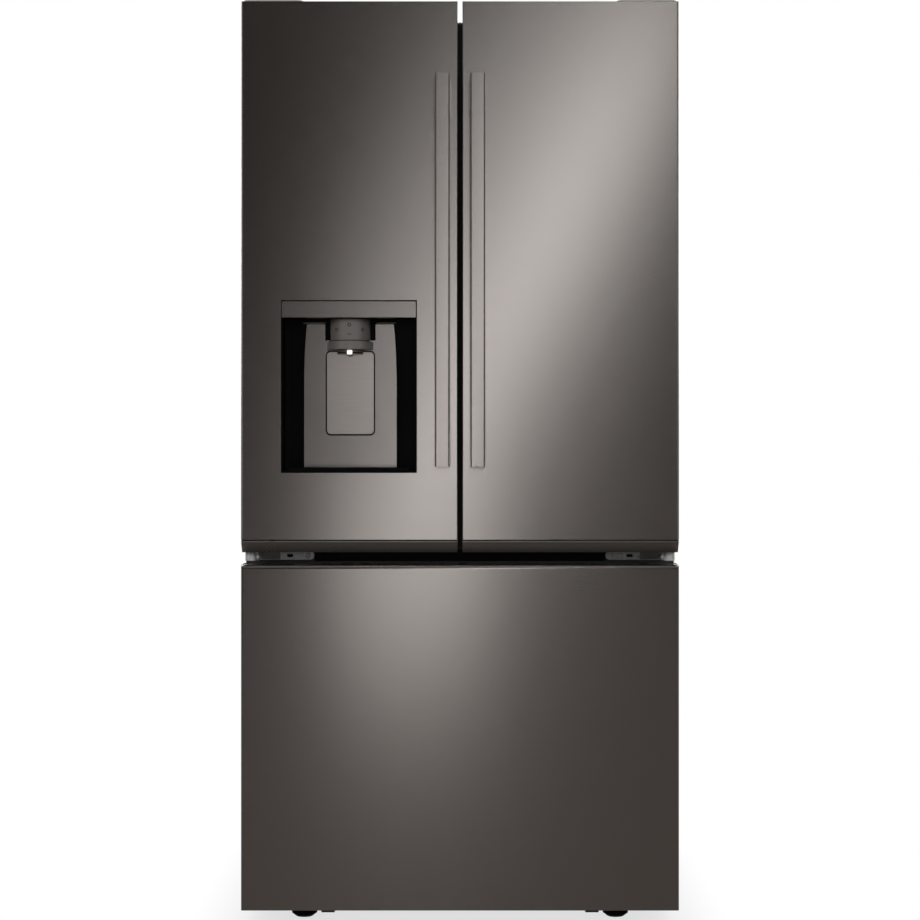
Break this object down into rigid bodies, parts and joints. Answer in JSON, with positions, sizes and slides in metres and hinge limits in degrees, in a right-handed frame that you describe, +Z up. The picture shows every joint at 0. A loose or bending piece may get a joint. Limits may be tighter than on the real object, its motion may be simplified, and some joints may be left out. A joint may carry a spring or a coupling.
{
  "type": "french door refrigerator",
  "caption": "Tall refrigerator with side-hinged double doors, straight bar handles, a water and ice dispenser in one door and a pull-out freezer drawer below.",
  "frame": {"origin": "centre of the footprint, on the floor: the bounding box's bottom centre", "axes": "+Z up, front of the doors towards -Y, +X to the right as seen from the front"},
  "size_m": [0.832, 0.898, 1.772],
  "materials": {
    "dark_steel": "satin",
    "case_paint": "satin",
    "liner_white": "satin",
    "dark_plastic": "satin",
    "black_plastic": "satin",
    "seal_rubber": "matte",
    "zinc_steel": "satin",
    "satin_grey": "satin",
    "shelf_glass": "gloss",
    "clear_plastic": "gloss",
    "fin_aluminium": "satin",
    "black_paint": "satin"
  },
  "bodies": {
    "cabinet": {"cabinet_shell": "case_paint", "fresh_food_liner": "liner_white", "freezer_liner": "liner_white", "rear_cover": "zinc_steel", "compressor": "black_paint", "condenser": "fin_aluminium", "evaporator": "fin_aluminium", "evaporator_cover": "liner_white", "shelf_upper_left": "shelf_glass", "shelf_upper_right": "shelf_glass", "shelf_lower": "shelf_glass", "crisper_cover": "shelf_glass", "top_hinge_left": "zinc_steel", "top_hinge_right": "zinc_steel", "hinge_cover_left": "dark_plastic", "hinge_cover_right": "dark_plastic", "mid_hinge_left": "zinc_steel", "mid_hinge_right": "zinc_steel", "leveling_leg_left": "black_plastic", "leveling_leg_right": "black_plastic"},
    "left_door": {"left_door_skin": "dark_steel", "left_door_panel": "liner_white", "left_door_bottom_cap": "dark_plastic", "left_door_gasket": "seal_rubber", "left_handle": "dark_steel", "left_bin_upper": "clear_plastic", "left_bin_lower": "clear_plastic", "dispenser_housing": "black_plastic", "dispenser_trim": "satin_grey", "dispenser_back_panel": "dark_steel", "dispenser_head": "satin_grey", "drip_tray": "black_plastic"},
    "right_door": {"right_door_skin": "dark_steel", "right_door_panel": "liner_white", "right_door_bottom_cap": "dark_plastic", "right_door_gasket": "seal_rubber", "right_handle": "dark_steel", "dairy_bin": "clear_plastic", "right_bin_upper": "clear_plastic", "right_bin_lower": "clear_plastic"},
    "freezer_drawer": {"freezer_drawer_skin": "dark_steel", "freezer_drawer_panel": "liner_white", "freezer_drawer_gasket": "seal_rubber", "drawer_frame": "zinc_steel", "freezer_basket": "clear_plastic"},
    "sealing_flap": {"mullion_flap": "dark_plastic"},
    "ice_cover": {"ice_compartment_cover": "liner_white"},
    "paddle": {"dispenser_paddle": "dark_steel"},
    "button": {"dispenser_button": "satin_grey"},
    "dairy_lid": {"dairy_lid": "clear_plastic"},
    "tray": {"freezer_tray": "clear_plastic"},
    "slide_left": {"slide_middle_left": "zinc_steel"},
    "slide_right": {"slide_middle_right": "zinc_steel"},
    "crisper_left": {"crisper_left": "clear_plastic"},
    "crisper_right": {"crisper_right": "clear_plastic"},
    "condenser_fan": {"condenser_fan": "black_plastic"},
    "front_roller_left": {"front_roller_left": "black_plastic"},
    "front_roller_right": {"front_roller_right": "black_plastic"},
    "rear_roller_left": {"rear_roller_left": "black_plastic"},
    "rear_roller_right": {"rear_roller_right": "black_plastic"}
  },
  "joints": [
    {"name": "left_door_hinge", "type": "hinge", "parent": "cabinet", "child": "left_door", "pos_m": [-0.402, -0.34, 0.718], "axis": [0, 0, -1], "range_deg": [0, 120]},
    {"name": "right_door_hinge", "type": "hinge", "parent": "cabinet", "child": "right_door", "pos_m": [0.402, -0.34, 0.718], "axis": [0, 0, 1], "range_deg": [0, 120]},
    {"name": "sealing_flap_hinge", "type": "hinge", "parent": "left_door", "child": "sealing_flap", "pos_m": [-0.044, -0.2727, 1.229], "axis": [0, 0, -1], "range_deg": [0, 90]},
    {"name": "ice_cover_hinge", "type": "hinge", "parent": "left_door", "child": "ice_cover", "pos_m": [-0.352, -0.187, 1.46], "axis": [0, 0, 1], "range_deg": [0, 15]},
    {"name": "paddle_hinge", "type": "hinge", "parent": "left_door", "child": "paddle", "pos_m": [-0.211, -0.318, 1.098], "axis": [1, 0, 0], "range_deg": [0, 5], "stiffness_Nm_per_rad": 0.4, "springref_deg": -17.19},
    {"name": "button_slide", "type": "slide", "parent": "left_door", "child": "button", "axis": [0, 1, 0], "range_m": [0, 0.002], "stiffness_N_per_m": 600, "springref_m": -0.002},
    {"name": "dairy_lid_hinge", "type": "hinge", "parent": "right_door", "child": "dairy_lid", "pos_m": [0.209, -0.291, 1.5532], "axis": [1, 0, 0], "range_deg": [0, 90]},
    {"name": "freezer_drawer_slide", "type": "slide", "parent": "cabinet", "child": "freezer_drawer", "axis": [0, -1, 0], "range_m": [0, 0.43]},
    {"name": "slide_middle_left_slide", "type": "slide", "parent": "cabinet", "child": "slide_left", "axis": [0, -1, 0], "range_m": [0, 0.215]},
    {"name": "slide_middle_right_slide", "type": "slide", "parent": "cabinet", "child": "slide_right", "axis": [0, -1, 0], "range_m": [0, 0.215]},
    {"name": "freezer_tray_slide", "type": "slide", "parent": "freezer_drawer", "child": "tray", "axis": [0, 1, 0], "range_m": [0, 0.1]},
    {"name": "crisper_left_slide", "type": "slide", "parent": "cabinet", "child": "crisper_left", "axis": [0, -1, 0], "range_m": [0, 0.065]},
    {"name": "crisper_right_slide", "type": "slide", "parent": "cabinet", "child": "crisper_right", "axis": [0, -1, 0], "range_m": [0, 0.065]},
    {"name": "condenser_fan_spin", "type": "hinge", "parent": "cabinet", "child": "condenser_fan", "pos_m": [-0.06, 0.35, 0.155], "axis": [1, 0, 0], "continuous": true},
    {"name": "front_roller_left_spin", "type": "hinge", "parent": "cabinet", "child": "front_roller_left", "pos_m": [-0.26, -0.225, 0.017], "axis": [1, 0, 0], "continuous": true},
    {"name": "front_roller_right_spin", "type": "hinge", "parent": "cabinet", "child": "front_roller_right", "pos_m": [0.26, -0.225, 0.017], "axis": [1, 0, 0], "continuous": true},
    {"name": "rear_roller_left_spin", "type": "hinge", "parent": "cabinet", "child": "rear_roller_left", "pos_m": [-0.33, 0.4, 0.017], "axis": [1, 0, 0], "continuous": true},
    {"name": "rear_roller_right_spin", "type": "hinge", "parent": "cabinet", "child": "rear_roller_right", "pos_m": [0.33, 0.4, 0.017], "axis": [1, 0, 0], "continuous": true}
  ],
  "couplings": [
    {"joint": "slide_middle_left_slide", "follows": "freezer_drawer_slide", "ratio": 0.5},
    {"joint": "slide_middle_right_slide", "follows": "freezer_drawer_slide", "ratio": 0.5}
  ]
}
